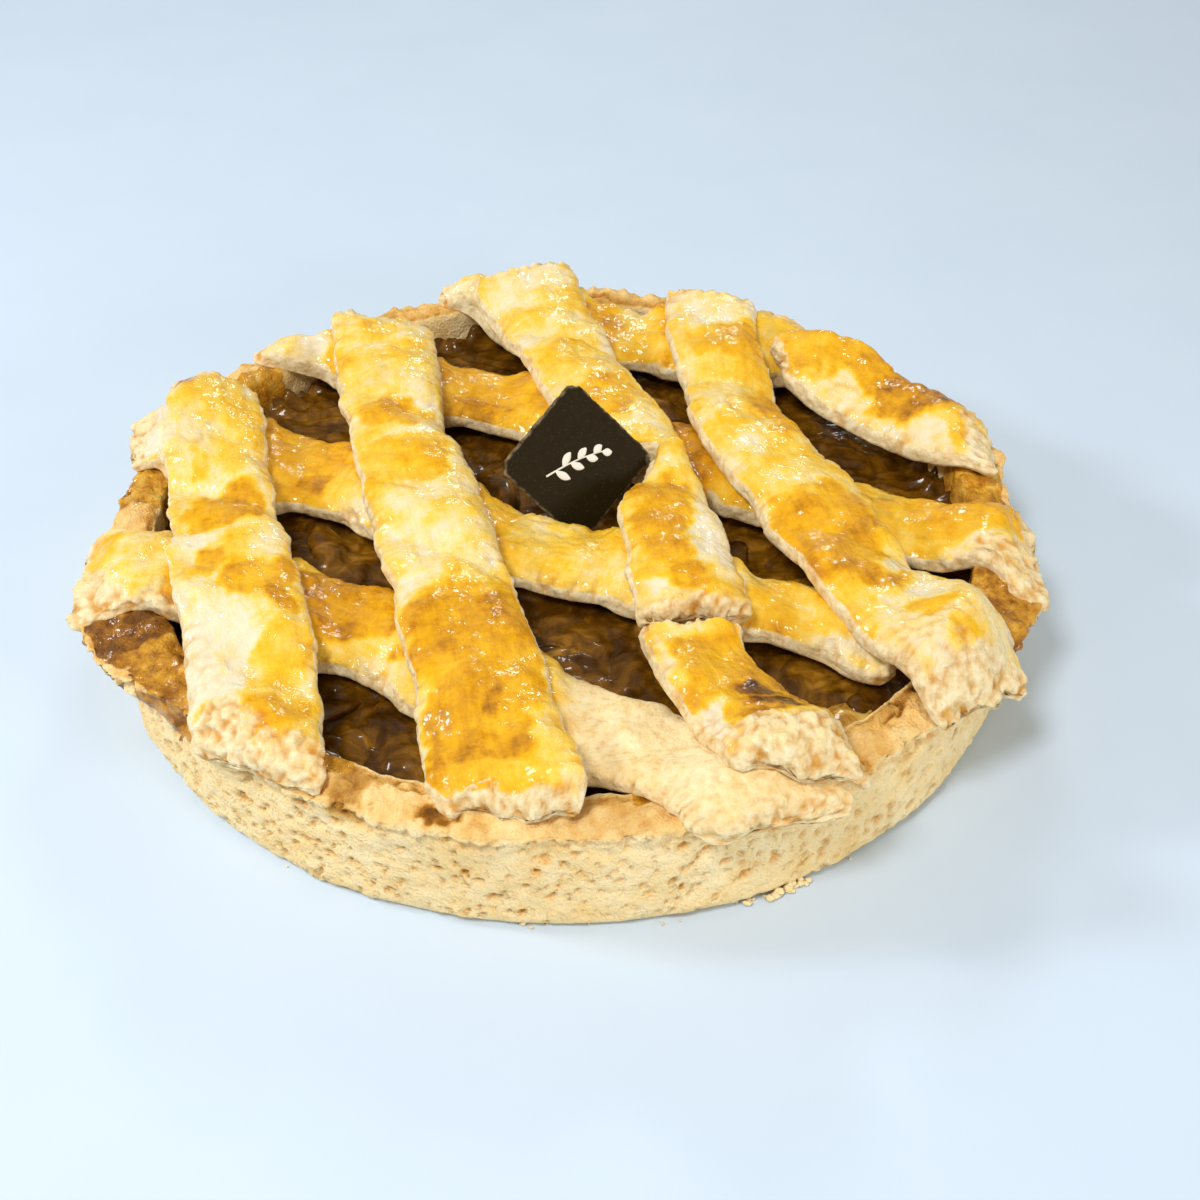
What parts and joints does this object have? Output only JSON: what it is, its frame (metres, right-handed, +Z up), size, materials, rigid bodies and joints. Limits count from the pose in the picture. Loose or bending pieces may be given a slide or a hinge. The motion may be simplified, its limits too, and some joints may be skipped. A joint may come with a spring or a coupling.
{
  "type": "apple kuchen",
  "caption": "Round apple tart with an upright pastry wall, a glazed lattice of dough strips over dark apple filling, and a small square chocolate plaque standing in it.",
  "frame": {"origin": "middle of the underside of the pastry case, on the surface that it rests on", "axes": "+Z up; -Y towards the picture's viewer; +X to the viewer's right"},
  "size_m": [0.2503, 0.2418, 0.0635],
  "materials": {
    "wall_crust": "dry porous baked shortcrust",
    "apple_filling": "glossy dark amber apple compote",
    "cross_crust": "glazed golden crust with pale sides",
    "top_crust": "glazed golden crust with pale sides",
    "chocolate": "smooth dark chocolate"
  },
  "bodies": {
    "root": {"crust_case": "wall_crust", "apple_filling": "apple_filling", "cross_strip_1": "cross_crust", "cross_strip_2": "cross_crust", "cross_strip_3": "cross_crust", "cross_strip_4": "cross_crust", "top_strip_1": "top_crust", "top_strip_2": "top_crust", "top_strip_3_back": "top_crust", "top_strip_3_front": "top_crust", "top_strip_4": "top_crust", "top_strip_5": "top_crust", "chocolate_plaque": "chocolate"}
  },
  "joints": []
}
